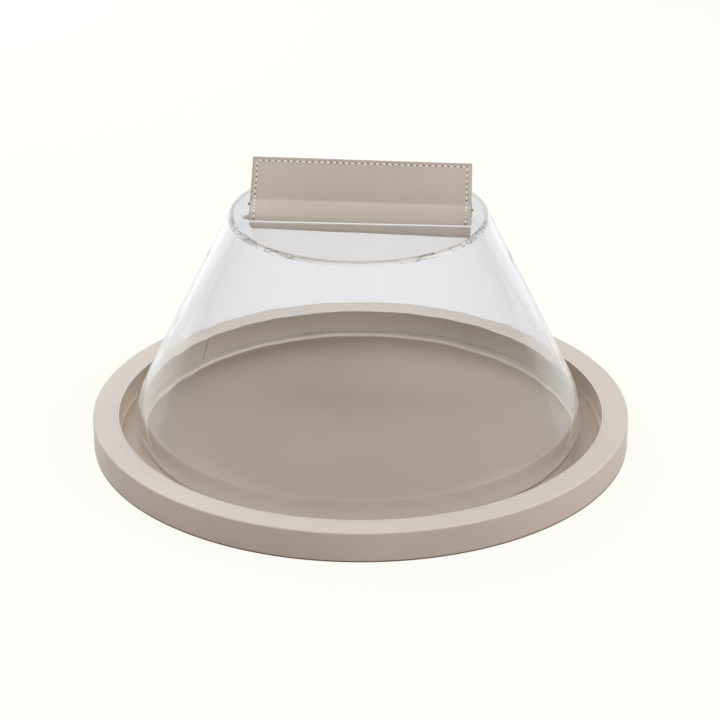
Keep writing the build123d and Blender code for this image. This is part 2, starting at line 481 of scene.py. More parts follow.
ACRYLIC_INDEX = 1.49
ACRYLIC_CLEAR = (0.985, 0.99, 0.992)
ACRYLIC_SAWN = (0.97, 0.97, 0.975)
# leather brown painted on the ground foot as the lit leather seen through it
FOOT_LIT_LEATHER = (0.62, 0.55, 0.49)
CEMENT_CLEAR = (0.86, 0.865, 0.87)
GRAIN_SHADE = (0.66, 0.62, 0.59)  # between the pebbles of the leather

# Share of light that passes through the acrylic, from square on to edge on
LIGHT_PASSED = [(0.0, 0.96), (0.3, 0.95), (0.5, 0.92), (0.7, 0.86), (0.85, 0.76), (1.0, 0.6)]


def leather(name, colour, grain=1.0 * MM, depth=0.04 * MM, gloss=0.45, coat=0.0, painted_light=None, where=None):
    """Fine pebbled leather with soft colour drift and darker creases between the pebbles.

    Its second colour is painted light and shade, and where gives its share.
    """
    material, tree, output = new_material(name)
    place = object_place(tree)
    drift = clouds(tree, place, scale=11.0, detail=3.0)["Fac"]
    warp = clouds(tree, place, scale=0.6 / grain, detail=2.0)["Color"]
    pores = clouds(tree, place, scale=4.5 / grain, detail=2.0)["Fac"]
    bent = add_node(tree, "ShaderNodeVectorMath", {0: warp, "Scale": 0.8 * grain}, operation="SCALE")
    moved = vector_maths(tree, "ADD", place, bent.outputs["Vector"])["Vector"]
    cells = add_node(
        tree, "ShaderNodeTexVoronoi", {"Vector": moved, "Scale": 1 / grain}, feature="DISTANCE_TO_EDGE")
    pebble = ranged(tree, cells.outputs["Distance"], (0.0, 1.0), over=(0.0, 0.22))
    base = two_tone(tree, drift, colour, spread=0.04)
    if painted_light:
        base = mixed(tree, where(tree, place), base, two_tone(tree, drift, painted_light, spread=0.03))
    creased = mixed(tree, ranged(tree, pebble, (0.28, 0.0)), base, GRAIN_SHADE, blend_type="MULTIPLY")
    height = add_node(tree, "ShaderNodeMath", {0: pores, 1: 0.25, 2: pebble}, operation="MULTIPLY_ADD")
    shader = principled(tree, {
        "Base Color": creased,
        "Roughness": ranged(tree, pores, (gloss - 0.05, gloss + 0.08)),
        "Normal": bumped(tree, height.outputs["Value"], strength=0.55, distance=depth),
        "IOR": 1.48,
        "Sheen Weight": 0.05,
        "Sheen Roughness": 0.4,
        "Coat Weight": coat,
        "Coat Roughness": 0.3,
        "Coat IOR": 1.6,
    })
    tree.links.new(shader, output.inputs["Surface"])
    return material


def front_sides(tree, place, colour, voids):
    """Plain colour that turns into painted reflections of voids at the front left and front right of the
    joint.
    """
    axes = axes_of(tree, place)
    aside = ranged(tree, size_of(tree, axes["X"]), (0.0, 1.0), over=(22 * MM, 42 * MM))
    front = ranged(tree, axes["Y"], (1.0, 0.0), over=(-12 * MM, 4 * MM))
    return mixed(tree, chained(tree, "MULTIPLY", aside, front), colour, voids)


def void_glints(tree, place, colour):
    """Grey lens shapes drawn out along the disc's edge, painted as the reflections of air voids in its
    cement.
    """
    drawn = vector_maths(tree, "MULTIPLY", place, (0.3, 0.3, 1.0))["Vector"]
    lens = clouds(tree, drawn, scale=320.0)["Fac"]
    grey = ramp(tree, lens, [(0.48, colour), (0.53, (0.36, 0.33, 0.31)), (0.6, (0.85, 0.85, 0.85))])
    return front_sides(tree, place, colour, grey)


def acrylic(name, clear_share=1.0, colour=ACRYLIC_CLEAR, rough=0.0, voids=False):
    """Clear acrylic, hazy where it is sawn. Lamps and bounced light pass straight through it."""
    material, tree, output = new_material(name)
    place = object_place(tree)
    wave = clouds(tree, place, scale=60.0)["Fac"]
    hair = clouds(tree, place, scale=900.0, detail=2.0)["Fac"]
    shader = principled(tree, {
        "Base Color": void_glints(tree, place, colour) if voids else (*colour, 1),
        "Roughness": ranged(tree, hair, (rough, rough + 0.012), over=(0.5, 0.8)),
        "IOR": ACRYLIC_INDEX,
        "Transmission Weight": clear_share,
        "Normal": bumped(tree, wave, strength=1.0, distance=0.11 * MM),
    })
    shade = ramp(tree, slant(tree), [(stop, (share, share, share)) for stop, share in LIGHT_PASSED])
    clear = add_node(tree, "ShaderNodeBsdfTransparent", {"Color": shade}).outputs["BSDF"]
    path = add_node(tree, "ShaderNodeLightPath").outputs
    bounced = mixed_shader(tree, path["Is Diffuse Ray"], shader, clear)
    lit = mixed_shader(tree, path["Is Shadow Ray"], bounced, clear)
    tree.links.new(lit, output.inputs["Surface"])
    return material


def cement(name):
    """Film of cement between two pieces of acrylic, cloudier at a slant, with greyer lens shapes painted as
    the reflections of its voids.
    """
    material, tree, output = new_material(name)
    place = object_place(tree)
    void = clouds(tree, place, scale=75.0, detail=2.0, distortion=0.6)["Fac"]
    grey = ramp(tree, void, [(0.5, CEMENT_CLEAR), (0.56, (0.36, 0.37, 0.37)), (0.7, (0.8, 0.8, 0.81))])
    front = front_sides(tree, place, CEMENT_CLEAR, grey)
    cloudy = ramp(tree, slant(tree), [(0.03, (0.42, 0.39, 0.36)), (0.19, (1.0, 1.0, 1.0))])
    shader = principled(tree, {
        "Base Color": mixed(tree, 1.0, front, cloudy, blend_type="MULTIPLY"),
        "Roughness": ranged(tree, void, (0.3, 0.6)),
        "IOR": ACRYLIC_INDEX,
        "Transmission Weight": 0.3,
    })
    tree.links.new(shader, output.inputs["Surface"])
    return material


def fibrous(name, colour, scale, depth, rough=0.95, contrast=0.35):
    """Matt material of short fibres: felt, fibreboard or thread."""
    material, tree, output = new_material(name)
    fibre = clouds(tree, object_place(tree), scale, detail=6.0, roughness=0.75, distortion=1.5)["Fac"]
    shader = principled(tree, {
        "Base Color": two_tone(tree, fibre, colour, contrast, over=(0.3, 0.7)),
        "Roughness": rough,
        "Normal": bumped(tree, fibre, strength=0.7, distance=depth),
        "Sheen Weight": 0.2,
    })
    tree.links.new(shader, output.inputs["Surface"])
    return material


def steel(name):
    """Drawn steel with fine streaks."""
    material, tree, output = new_material(name)
    streak = clouds(tree, object_place(tree), scale=700.0, detail=3.0)["Fac"]
    shader = principled(tree, {
        "Base Color": ramp(tree, streak, [(0.3, (0.48, 0.48, 0.47)), (0.7, (0.62, 0.62, 0.61))]),
        "Metallic": 1.0,
        "Roughness": ranged(tree, streak, (0.25, 0.45)),
    })
    tree.links.new(shader, output.inputs["Surface"])
    return material


TAUPE = (0.4, 0.328, 0.288)  # tray's outer wall
RIM_SHEEN_TAUPE = (0.63, 0.566, 0.508)  # rim's top, painted paler as a painted sheen
OLIVE_TAUPE = (0.44, 0.362, 0.288)  # lining at the back, left darker as painted shade
LIT_LINING_TAUPE = (0.62, 0.53, 0.45)  # lining at the front and sides, painted lighter as painted light
BROWN_TAUPE = (0.202, 0.132, 0.092)  # floor under the cover
LIT_RING_TAUPE = (0.485, 0.398, 0.322)  # floor outside the cover, painted lighter as painted light
PALE_TAUPE = (0.562, 0.502, 0.453)  # handle
SHADED_SLOT_TAUPE = (0.461, 0.402, 0.349)  # handle where it goes into its slots, darker as painted shade
CUT_PALE = (0.8, 0.78, 0.76)
PAINT_BROWN = (0.42, 0.345, 0.295)
CORD_BROWN = (0.28, 0.2, 0.155)
FELT_BROWN = (0.19, 0.1, 0.05)
# dark brown painted as the shade in the needle holes
HOLE_SHADE_BROWN = (0.17, 0.13, 0.11)
BOARD_TAN = (0.52, 0.40, 0.28)
THREAD_WHITE = (0.76, 0.72, 0.67)

wrap_leather = leather("wrap_leather", TAUPE, gloss=0.4, coat=0.5, painted_light=RIM_SHEEN_TAUPE, where=sheen_facing_up)
lining_leather = leather("lining_leather", OLIVE_TAUPE, gloss=0.6, painted_light=LIT_LINING_TAUPE, where=lining_light_share)
floor_leather = leather(
    "floor_leather", BROWN_TAUPE, gloss=0.35, coat=0.8, painted_light=LIT_RING_TAUPE, where=floor_light_share)
handle_leather = leather("handle_leather", PALE_TAUPE, grain=0.8 * MM, painted_light=SHADED_SLOT_TAUPE, where=slot_shade_share)
cut_edge = leather("cut_edge", CUT_PALE, grain=0.7 * MM, depth=0.02 * MM)
edge_paint = leather("edge_paint", PAINT_BROWN, grain=0.7 * MM, depth=0.02 * MM, gloss=0.4)
dark_cord = leather("dark_cord", CORD_BROWN, grain=0.5 * MM)
clear_acrylic = acrylic("clear_acrylic")
hazy_edge = acrylic("hazy_edge", clear_share=0.7, colour=ACRYLIC_SAWN, rough=0.03, voids=True)
# The ground foot's brown is painted light from the leather under it.
ground_foot = acrylic("ground_foot", clear_share=0.15, colour=FOOT_LIT_LEATHER, rough=0.5)
joint_cement = cement("joint_cement")
brown_felt = fibrous("brown_felt", FELT_BROWN, scale=1500.0, depth=0.3 * MM)
fibreboard = fibrous("fibreboard", BOARD_TAN, scale=900.0, depth=0.1 * MM, rough=0.85, contrast=0.2)
thread = fibrous("thread", THREAD_WHITE, scale=3000.0, depth=0.05 * MM, rough=0.7, contrast=0.1)
hole_shade = fibrous("hole_shade", HOLE_SHADE_BROWN, scale=2000.0, depth=0.05 * MM)
screw_steel = steel("screw_steel")


def finish_piece(obj, body, materials, slot, *nodes):
    """Gives a piece its materials and body, and hides the nodes that it stands for; slot is not used."""
    for material in materials:
        obj.data.materials.append(material)
    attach(obj, body)
    if nodes:
        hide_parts(*nodes)


# Tray pieces

def rim_wrap():
    """Leather over the rim and the outer wall, turned in below, with slight unevenness."""
    core_radius = rim_radius - LEATHER
    inner_radius = lining_radius + RIM_GAP
    foot = rim_low.z
    outline = rounded(
        [
            (core_radius - TURN_IN, foot),
            (rim_radius, foot),
            (rim_radius, rim_top),
            (inner_radius, rim_top),
            (inner_radius, rim_top - LEATHER),
            (core_radius, rim_top - LEATHER),
            (core_radius, foot + LEATHER),
            (core_radius - TURN_IN, foot + LEATHER),
        ],
        [0, RIM_FOOT_EDGE, RIM_EDGE, RIM_INNER_EDGE, 0, RIM_EDGE - LEATHER, RIM_FOOT_EDGE - LEATHER, 0],
    )

    def shift(r, z, a):
        sink = ripple(r * cos(a), r * sin(a), z, *RIM_RIPPLE)
        if z > rim_top - LEATHER / 2:
            return r, z - sink
        if r > rim_radius - LEATHER / 2:
            return r - sink, z
        return r, z

    obj = lathe("rim_wrap", refined(outline, step=2 * MM), TRAY_SEGMENTS, shift)
    finish_piece(obj, "tray", [wrap_leather], "taupe_leather", "rim_leather")


def wall_strip():
    """Lining strip with a slanted butt seam, lifted ends and a lower edge that stands off the wall."""
    crowding = 0.9  # columns lie closer together by the seam
    low = floor_top + LINING_LIFT
    section = rounded(
        [(recess_radius, low), (lining_radius, low), (lining_radius, rim_top), (recess_radius, rim_top)],
        [LINING_EDGE, 0, 0, LINING_EDGE],
    )
    section = refined(section, step=0.8 * MM)
    middle_z = (floor_top + rim_top) / 2
    columns = TRAY_SEGMENTS + 1
    vertices = []
    for k in range(columns):
        even = k / (columns - 1)
        share = even - crowding * sin(2 * pi * even) / (2 * pi)
        for r, z in section:
            start = SEAM_AZIMUTH + (tan(SEAM_LEAN) * (middle_z - z) + SEAM_GAP / 2) / recess_radius
            a = start + share * (2 * pi - SEAM_GAP / recess_radius)
            from_end = min(share, 1 - share) * 2 * pi * recess_radius
            by_edge = exp(-(((z - low) / LINING_LIP_HEIGHT) ** 2))
            left_or_right = cos(a) ** 4
            bulge = LINING_LIP * left_or_right * by_edge
            sink = LINING_LIFT * (1 - left_or_right) * by_edge
            if r < lining_radius - LINING_EDGE:
                bulge += SEAM_CURL * exp(-((from_end / SEAM_CURL_LENGTH) ** 2))
            away = r - bulge + ripple(r * cos(a), r * sin(a), z, *LINING_RIPPLE)
            vertices.append((away * cos(a), away * sin(a), z - sink))
    count = len(section)
    levels = [min(section[i][1], section[(i + 1) % count][1]) for i in range(count)]
    slots = [1 if level > rim_top - LINING_EDGE else 0 for level in levels] * (columns - 1) + [0, 0]
    obj = mesh_object("wall_strip", vertices, tube_faces(0, columns, count), slots=slots)
    finish_piece(obj, "tray", [lining_leather, cut_edge], "taupe_leather", "wall_lining")


def floor_panel():
    """Leather floor with a rounded edge under the lining's lip, and slight unevenness."""
    edge = LEATHER / 2
    edge_radius = recess_radius - FLOOR_GAP
    outline = rounded(
        [(0, floor_low.z), (edge_radius, floor_low.z), (edge_radius, floor_top), (0, floor_top)],
        [0, 0, edge, 0],
    )

    def shift(r, z, a):
        if z > floor_top - edge / 2:
            return r, z - ripple(r * cos(a), r * sin(a), 0, *FLOOR_RIPPLE)
        return r, z

    obj = lathe("floor_panel", refined(outline, step=4 * MM), TRAY_SEGMENTS, shift)
    finish_piece(obj, "tray", [floor_leather], "taupe_leather", "floor_leather")


def felt_pad():
    """Pad under the tray, thicker inside the turned-in leather."""
    step_radius = rim_radius - LEATHER - TURN_IN - FELT_GAP
    pad_radius = felt_high.x + FELT_SPREAD
    outline = rounded(
        [
            (0, felt_low.z),
            (pad_radius, felt_low.z),
            (pad_radius, rim_low.z),
            (step_radius, rim_low.z),
            (step_radius, felt_high.z),
            (0, felt_high.z),
        ],
        [0, FELT_EDGE, FELT_EDGE, 0, 0, 0],
    )
    obj = lathe("felt_pad", refined(outline, step=6 * MM), TRAY_SEGMENTS)
    finish_piece(obj, "tray", [brown_felt], "brown_felt", "underside_felt")


# Clear cover, about its own axis

heel_centre_radius = heel_radius - HEEL_BEND
heel_drop = HEEL_BEND * sin(HEEL_TUCK)
heel_centre_z = cone_low.z + heel_drop
seat_rise = disc_bottom - heel_centre_z
seat_run = disc_foot_radius - heel_centre_radius
cone_lean = atan2(seat_rise, seat_run) - acos(HEEL_BEND / hypot(seat_rise, seat_run))
disc_radius = disc_foot_radius - (disc_top - disc_bottom) * tan(cone_lean)


def heel_arc(radius, start, end):
    """Points about the heel's centre, with radius as a function of the angle."""
    angles = [start + (end - start) * k / HEEL_STEPS for k in range(HEEL_STEPS + 1)]
    return [(heel_centre_radius + radius(a) * cos(a), heel_centre_z + radius(a) * sin(a)) for a in angles]


def cone_wall():
    """Cone with a rounded heel, a ground foot and a bead of cement inside its top."""
    foot_inside = -asin(heel_drop / (HEEL_BEND - FOOT_WALL))
    seat_inside = disc_foot_radius - WALL / cos(cone_lean)
    foot_inner_radius = heel_centre_radius + heel_drop / tan(-foot_inside) + TINY

    def inside(a):
        easing = within(a / foot_inside)
        return HEEL_BEND - WALL + (WALL - FOOT_WALL) * easing**2 * (3 - 2 * easing)

    outline = [(disc_foot_radius, disc_bottom)]
    outline += heel_arc(lambda a: HEEL_BEND, cone_lean, -HEEL_TUCK)
    outline += heel_arc(inside, foot_inside, cone_lean)
    outline += [
        (seat_inside + CEMENT_BEAD * tan(cone_lean), disc_bottom - CEMENT_BEAD),
        (seat_inside - CEMENT_BEAD, disc_bottom),
    ]

    def slot_of(a, b):
        if max(a[1], b[1]) < cone_low.z + FOOT_GRIND and max(a[0], b[0]) > foot_inner_radius:
            return 1
        if min(a[1], b[1]) > disc_bottom - CEMENT_BEAD - TINY:
            return 2
        return 0

    fine = refined(outline, step=6 * MM)
    obj = lathe("cone_wall", fine, COVER_SEGMENTS, middle=cover_middle, sharp_degrees=30, slot_of=slot_of)
    finish_piece(obj, "cover", [clear_acrylic, ground_foot, joint_cement], "clear_acrylic", "cone_shell")


def slot_size():
    """Half the slot's width, and half the run between its two round ends."""
    half_width = PLY / 2 + SLOT_CLEARANCE
    return half_width, handle_half + SLOT_END_CLEARANCE - half_width


def slot_outline(y):
    """Rounded slot for one leg of the handle, as a loop of (x, y) points."""
    half_width, half_run = slot_size()
    out = []
    for x, start in [(half_run, -pi / 2), (-half_run, pi / 2)]:
        for k in range(SLOT_END_STEPS + 1):
            a = start + pi * k / SLOT_END_STEPS
            out.append((x + half_width * cos(a), y + half_width * sin(a)))
    return out


def disc_plate():
    """Flat disc with two slots and a hazy edge, set on the cone's top."""
    ring = [(cos(a), sin(a)) for a in turns(COVER_SEGMENTS)]
    top_rim = disc_radius - EDGE_BREAK
    slots = [slot_outline(-LEG_OFFSET), slot_outline(LEG_OFFSET)]
    loops = [[(top_rim * x, top_rim * y) for x, y in ring]] + slots
    flat = [Vector(p) for loop in loops for p in loop]
    edges = []
    start = 0
    for loop in loops:
        edges += [(start + k, start + (k + 1) % len(loop)) for k in range(len(loop))]
        start += len(loop)
    places, _, triangles, _, _, _ = delaunay_2d_cdt(flat, edges, [], 0, TRIANGULATION)
    half_width, half_run = slot_size()

    def solid(triangle):
        p = (places[triangle[0]] + places[triangle[1]] + places[triangle[2]]) / 3
        aside = min(abs(p.y - LEG_OFFSET), abs(p.y + LEG_OFFSET))
        return hypot(max(0, abs(p.x) - half_run), aside) > half_width - TINY and p.length < top_rim

    kept = [t for t in triangles if solid(t)]
    size = len(places)
    vertices = [(p.x, p.y, disc_top) for p in places]
    for p in places:
        stretch = disc_foot_radius / top_rim if p.length > top_rim - TINY else 1
        vertices.append((p.x * stretch, p.y * stretch, disc_bottom - JOINT_OVERLAP))
    brow = len(vertices)
    vertices += [(disc_radius * x, disc_radius * y, disc_top - EDGE_BREAK) for x, y in ring]
    faces = [list(t) for t in kept] + [[size + i for i in reversed(t)] for t in kept]
    clear_faces = len(faces)
    for k in range(COVER_SEGMENTS):
        n = (k + 1) % COVER_SEGMENTS
        faces.append([k, n, brow + n, brow + k])
        faces.append([brow + k, brow + n, size + n, size + k])
    hazy_faces = len(faces) - clear_faces
    start = COVER_SEGMENTS
    for slot in slots:
        for k in range(len(slot)):
            n = (k + 1) % len(slot)
            faces.append([start + k, start + n, size + start + n, size + start + k])
        start += len(slot)
    marks = [0] * clear_faces + [1] * hazy_faces + [0] * (len(faces) - clear_faces - hazy_faces)
    obj = mesh_object("disc_plate", vertices, faces, cover_middle, sharp_degrees=30, slots=marks)
    finish_piece(obj, "cover", [clear_acrylic, hazy_edge], "clear_acrylic", "top_disc")


# Handle, about the cover's axis

half_turn = (pi / 2 - FLANGE_SLOPE) / 2
foot_z = disc_top + (ROLL_INSIDE + PLY / 2) * tan(half_turn) - ROLL_SINK
crease_z = foot_z + (LEG_OFFSET - PLY / 2) * tan(FLANGE_SLOPE)
hem_outside = (disc_bottom - HEM_GAP - ply_low.z) / 2
hem_y = -LEG_OFFSET - PLY / 2 + hem_outside
hem_z = disc_bottom - HEM_GAP - hem_outside


def handle_warp(x, y, z):
    """Place of a point of the ideal handle on the sewn one, which is a little out of true."""
    side = x / handle_half
    rise = within((z - crease_z) / (handle_top - crease_z))
    drop = TOP_DROP_LEFT + (TOP_DROP_RIGHT - TOP_DROP_LEFT) * (1 + side) / 2
    by_slot = min(1.0, abs(y) / LEG_OFFSET)
    moved_x = x + HANDLE_SHIFT + (LEFT_LEAN * rise + LEFT_TUCK * by_slot) * (1 - side) / 2
    at_roll = exp(-(((z - disc_top - FLARE_RISE) / FLARE_HEIGHT) ** 2)) if y < 0 and z > disc_top else 0
    flare = RIGHT_FLARE if side > 0 else -ROLL_FLARE
    moved_x += flare * at_roll * max(0.0, 1 - (handle_half - abs(x)) / FLARE_REACH) ** 2
    flange_rise = within((z - disc_top) / (crease_z - disc_top))
    moved_z = z - drop * rise - CREASE_SAG * flange_rise * (1 - rise) * (1 + side) / 2
    if z < disc_bottom:
        moved_z = disc_bottom - (disc_bottom - z) * (HEM_SAG + HEM_SKEW * side)
        moved_x += HEM_TAPER * (disc_bottom - z) * (1 - side) / 2
    return moved_x, y, moved_z


def ply_path():
    """Middle line of the front ply as (y, z): upright, crease, flange, roll, leg and the hem's loop."""
    corners = [(-PLY / 2, handle_top), (-PLY / 2, crease_z), (-LEG_OFFSET, foot_z), (-LEG_OFFSET, hem_z)]
    radii = [0, CREASE_INSIDE + PLY / 2, ROLL_INSIDE + PLY / 2, 0]
    path = rounded(corners, radii, closed=False, steps=BEND_STEPS)
    loop_radius = hem_outside - PLY / 2
    for k in range(1, HEM_STEPS + 1):
        a = HEM_TURN * k / HEM_STEPS
        path.append((hem_y - loop_radius * cos(a), hem_z - loop_radius * sin(a)))
    return path


def walk(points, places):
    """Point, and unit vector to the outer side, at each length along a path of (y, z) points."""
    lengths = [0.0]
    for a, b in zip(points, points[1:]):
        lengths.append(lengths[-1] + hypot(b[0] - a[0], b[1] - a[1]))
    out = []
    i = 0
    for place in places:
        while i < len(points) - 2 and lengths[i + 1] < place:
            i += 1
        a, b = Vector(points[i]), Vector(points[i + 1])
        ahead = (b - a).normalized()
        t = (place - lengths[i]) / (lengths[i + 1] - lengths[i])
        out.append((a.lerp(b, t), Vector((ahead.y, -ahead.x))))
    return out


path_points = ply_path()
path_length = sum(hypot(b[0] - a[0], b[1] - a[1]) for a, b in zip(path_points, path_points[1:]))
upright_length = handle_top - crease_z
flange_length = (LEG_OFFSET - PLY / 2) / cos(FLANGE_SLOPE)
stitched_length = upright_length + flange_length + STITCH_RUN_ON


def along_stations():
    """Lengths along the ply, close together by the top edge and in the bends."""
    stations = [0.0]
    while stations[-1] < path_length:
        walked = stations[-1]
        if walked < EDGE_ZONE:
            step = EDGE_STEP
        elif walked < upright_length - EDGE_ZONE:
            step = FLAT_STEP
        else:
            step = BEND_STEP
        stations.append(walked + step)
    stations[-1] = path_length
    return stations


def across_columns():
    """Places across the handle's width, close together by the edges where the stitches run."""
    fine = [handle_half - k * EDGE_STEP for k in range(EDGE_COLUMNS)]
    inner = fine[-1]
    coarse = [inner - 2 * inner * k / FLAT_COLUMNS for k in range(1, FLAT_COLUMNS)]
    return fine + coarse + [-x for x in reversed(fine)]


def stitch_groove(x, walked):
    """How far the thread pulls the leather in, at a place on the ply's outer face."""
    far = STITCH_PITCH
    edge = STITCH_INSET + (RIGHT_INSET if x > 0 else 0)
    side = abs(handle_half - abs(x) - edge) if TOP_INSET < walked < stitched_length else far
    top = abs(walked - TOP_INSET) if abs(x) < handle_half - edge else far
    return STITCH_PULL * exp(-((min(side, top) / GROOVE_WIDTH) ** 2))


def outer_depth(x, walked):
    """Outer face's distance from the ply's middle, less at its rounded edges and under the thread."""
    depth = PLY / 2
    from_edge = min(handle_half - abs(x), walked)
    if from_edge < EDGE_ROUNDING:
        depth -= EDGE_ROUNDING - sqrt(max(0.0, EDGE_ROUNDING**2 - (EDGE_ROUNDING - from_edge) ** 2))
    return depth - stitch_groove(x, walked)


def handle_ply(name, side, node):
    """One ply as a swept strip with a rounded outer edge. side is 1 for the front and -1 for the back."""
    stations = along_stations()
    columns = across_columns()
    vertices = []
    for walked, (middle, outward) in zip(stations, walk(path_points, stations)):
        ring = [(x, outer_depth(x, walked)) for x in columns] + [(x, -PLY / 2) for x in reversed(columns)]
        for x, depth in ring:
            y = middle.x + depth * outward.x
            z = middle.y + depth * outward.y
            vertices.append(handle_warp(x, side * y, z))
    rows = len(stations)
    width = len(columns)
    around = 2 * width
    painted = {*range(PAINTED_FACES), *range(width - 1 - PAINTED_FACES, width), around - 1}
    faces = ring_faces(0, rows, around)
    slots = [
        1 if k in painted or (i < PAINTED_FACES and k < width) else 0
        for i in range(rows - 1)
        for k in range(around)
    ]
    for end in (0, (rows - 1) * around):
        for k in range(width - 1):
            faces.append([end + k, end + k + 1, end + around - 2 - k, end + around - 1 - k])
            slots.append(1)
    obj = mesh_object(name, vertices, faces, cover_middle, sharp_degrees=50, slots=slots)
    finish_piece(obj, "cover", [handle_leather, edge_paint], "taupe_leather", node)


def row_steps(length):
    """Middles of the stitches in a row of some length."""
    count = max(1, round(length / STITCH_PITCH))
    return [(i + 0.5) * length / count for i in range(count)]


def stitch_places():
    """(middle, direction, outward) of each stitch on the front of the handle."""
    left_x = STITCH_INSET - handle_half
    right_x = handle_half - STITCH_INSET - RIGHT_INSET
    row_z = handle_top - TOP_INSET
    places = []
    for step in row_steps(right_x - left_x):
        places.append((Vector((left_x + step, -PLY, row_z)), Vector((1, 0, 0)), Vector((0, -1, 0))))
    downs = [TOP_INSET + step for step in row_steps(stitched_length - TOP_INSET)]
    for middle, outward in walk(path_points, downs):
        face = middle + outward * (PLY / 2)
        out = Vector((0, outward.x, outward.y))
        down = Vector((0, -outward.y, outward.x))
        for x in (left_x, right_x):
            places.append((Vector((x, face.x, face.y)), down, out))
    return places


def sewn(name, rings, point):
    """Small closed tubes, one at each stitch of both plies.

    point gives a place for a stitch, a ring and an angle.
    """
    around = 12
    vertices = []
    faces = []
    for stitch in stitch_places():
        for side in (1, -1):
            faces += tube_faces(len(vertices), rings, around)
            for i in range(rings):
                for a in turns(around):
                    p = point(stitch, i, a)
                    vertices.append(handle_warp(p.x, side * p.y, p.z))
    return mesh_object(name, vertices, faces, cover_middle, sharp_degrees=60)


def stitching():
    """Twisted two-ply threads that dip into their holes at both ends."""
    rings = 15
    least_taper = 0.05

    def point(stitch, i, a):
        middle, direction, outward = stitch
        t = 2 * i / (rings - 1) - 1
        taper = sqrt(max(least_taper, 1 - abs(t) ** 4))
        radius = THREAD_RADIUS * taper * (1 + TWIST_DEPTH * cos(2 * a + TWIST_TURN * t))
        rise = THREAD_RISE - THREAD_DIP * abs(t) ** 3 + radius * sin(a)
        p = middle + direction * (t * STITCH_LENGTH / 2)
        return p + direction.cross(outward) * (radius * cos(a)) + outward * rise

    finish_piece(sewn("stitching", rings, point), "cover", [thread], "thread", "handle_stitching")


def needle_holes():
    """Dark dimples between the stitches, painted as the shade in the holes where the thread goes through the
    leather.
    """
    rings = 5
    reach = (STITCH_PITCH - STITCH_LENGTH) / 2 + HOLE_UNDERCUT

    def point(stitch, i, a):
        middle, direction, outward = stitch
        bend = -pi / 2 + pi * (i + 0.25) / (rings - 0.5)
        p = middle + direction * (STITCH_PITCH / 2) - outward * (STITCH_PULL - HOLE_PROUD)
        p = p + direction * (reach * cos(bend) * cos(a))
        p = p + direction.cross(outward) * (HOLE_WIDTH * cos(bend) * sin(a))
        return p + outward * (HOLE_HEIGHT * sin(bend))

    finish_piece(sewn("needle_holes", rings, point), "cover", [hole_shade], "dark_cord")


def fork_cord():
    """Round cord in the fork of the handle, with rounded ends."""
    around = 20
    radius = (cord_high.z - cord_low.z) / 2
    middle_z = (cord_high.z + cord_low.z) / 2 - CORD_DROP
    half = (cord_high.x - cord_low.x) / 2
    end = CORD_END_ROUNDING * (radius - CORD_TIP)
    corners = [(-half, CORD_TIP), (-half, radius), (half, radius), (half, CORD_TIP)]
    profile = rounded(corners, [0, end, end, 0], closed=False)
    vertices = []
    for x, r in profile:
        for a in turns(around):
            vertices.append(handle_warp(x, r * cos(a), middle_z + r * sin(a)))
    obj = mesh_object("fork_cord", vertices, tube_faces(0, len(profile), around), cover_middle)
    finish_piece(obj, "cover", [dark_cord], "dark_cord", "handle_filler_cord")


rim_wrap()
wall_strip()
floor_panel()
felt_pad()
cone_wall()
disc_plate()
handle_ply("handle_front", 1, "handle_front_leather")
handle_ply("handle_back", -1, "handle_back_leather")
stitching()
needle_holes()
fork_cord()

# CAD pieces that stay, hidden inside the others
kept_nodes = {
    "base_board": fibreboard,
    "rim_core": fibreboard,
    "handle_stiffener": fibreboard,
    "rim_screws": screw_steel,
    "front_hem_rod": screw_steel,
    "back_hem_rod": screw_steel,
}
for node, material in kept_nodes.items():
    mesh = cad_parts[node].data
    mesh.materials.clear()
    mesh.materials.append(material)


# Studio

BACKGROUND_WHITE = (1.0, 0.991, 0.947)
SEEN_THROUGH = (0.893, 0.893, 0.922)  # surroundings behind the clear cover
FLOOR_HALF = 8.0
FLOOR_LEVEL = -0.1 * MM
FLOOR_PAINT = (0.86, 0.85, 0.82)
FLOOR_GLOW = 0.9  # share of the background's white in it
FLOOR_MIRRORED = (0.8, 1.15)  # its brightness in reflections, by the tray and further out
FLOOR_MIRRORED_OVER = (0.18, 0.32)
FILL_STRENGTH = 0.28
COOL_LIGHT = (0.98, 1.0, 1.02)
NEUTRAL_LIGHT = (1.0, 0.99, 0.98)
WARM_LIGHT = (1.0, 0.98, 0.95)
AT_TRAY = (0, 0, 0)
AT_COVER = (0, 0, 0.05)
GLASS_BOUNCES = 48  # enough for light that runs along inside the acrylic
CLEAR_BOUNCES = 32

# Colour of the surroundings in reflections, by height
SKY_MIRRORED = [
    (0.0, (0.8, 0.8, 0.81)),
    (0.03, (0.42, 0.425, 0.435)),
    (0.45, (0.52, 0.53, 0.57)),
    (1.0, (0.75, 0.76, 0.77)),
]


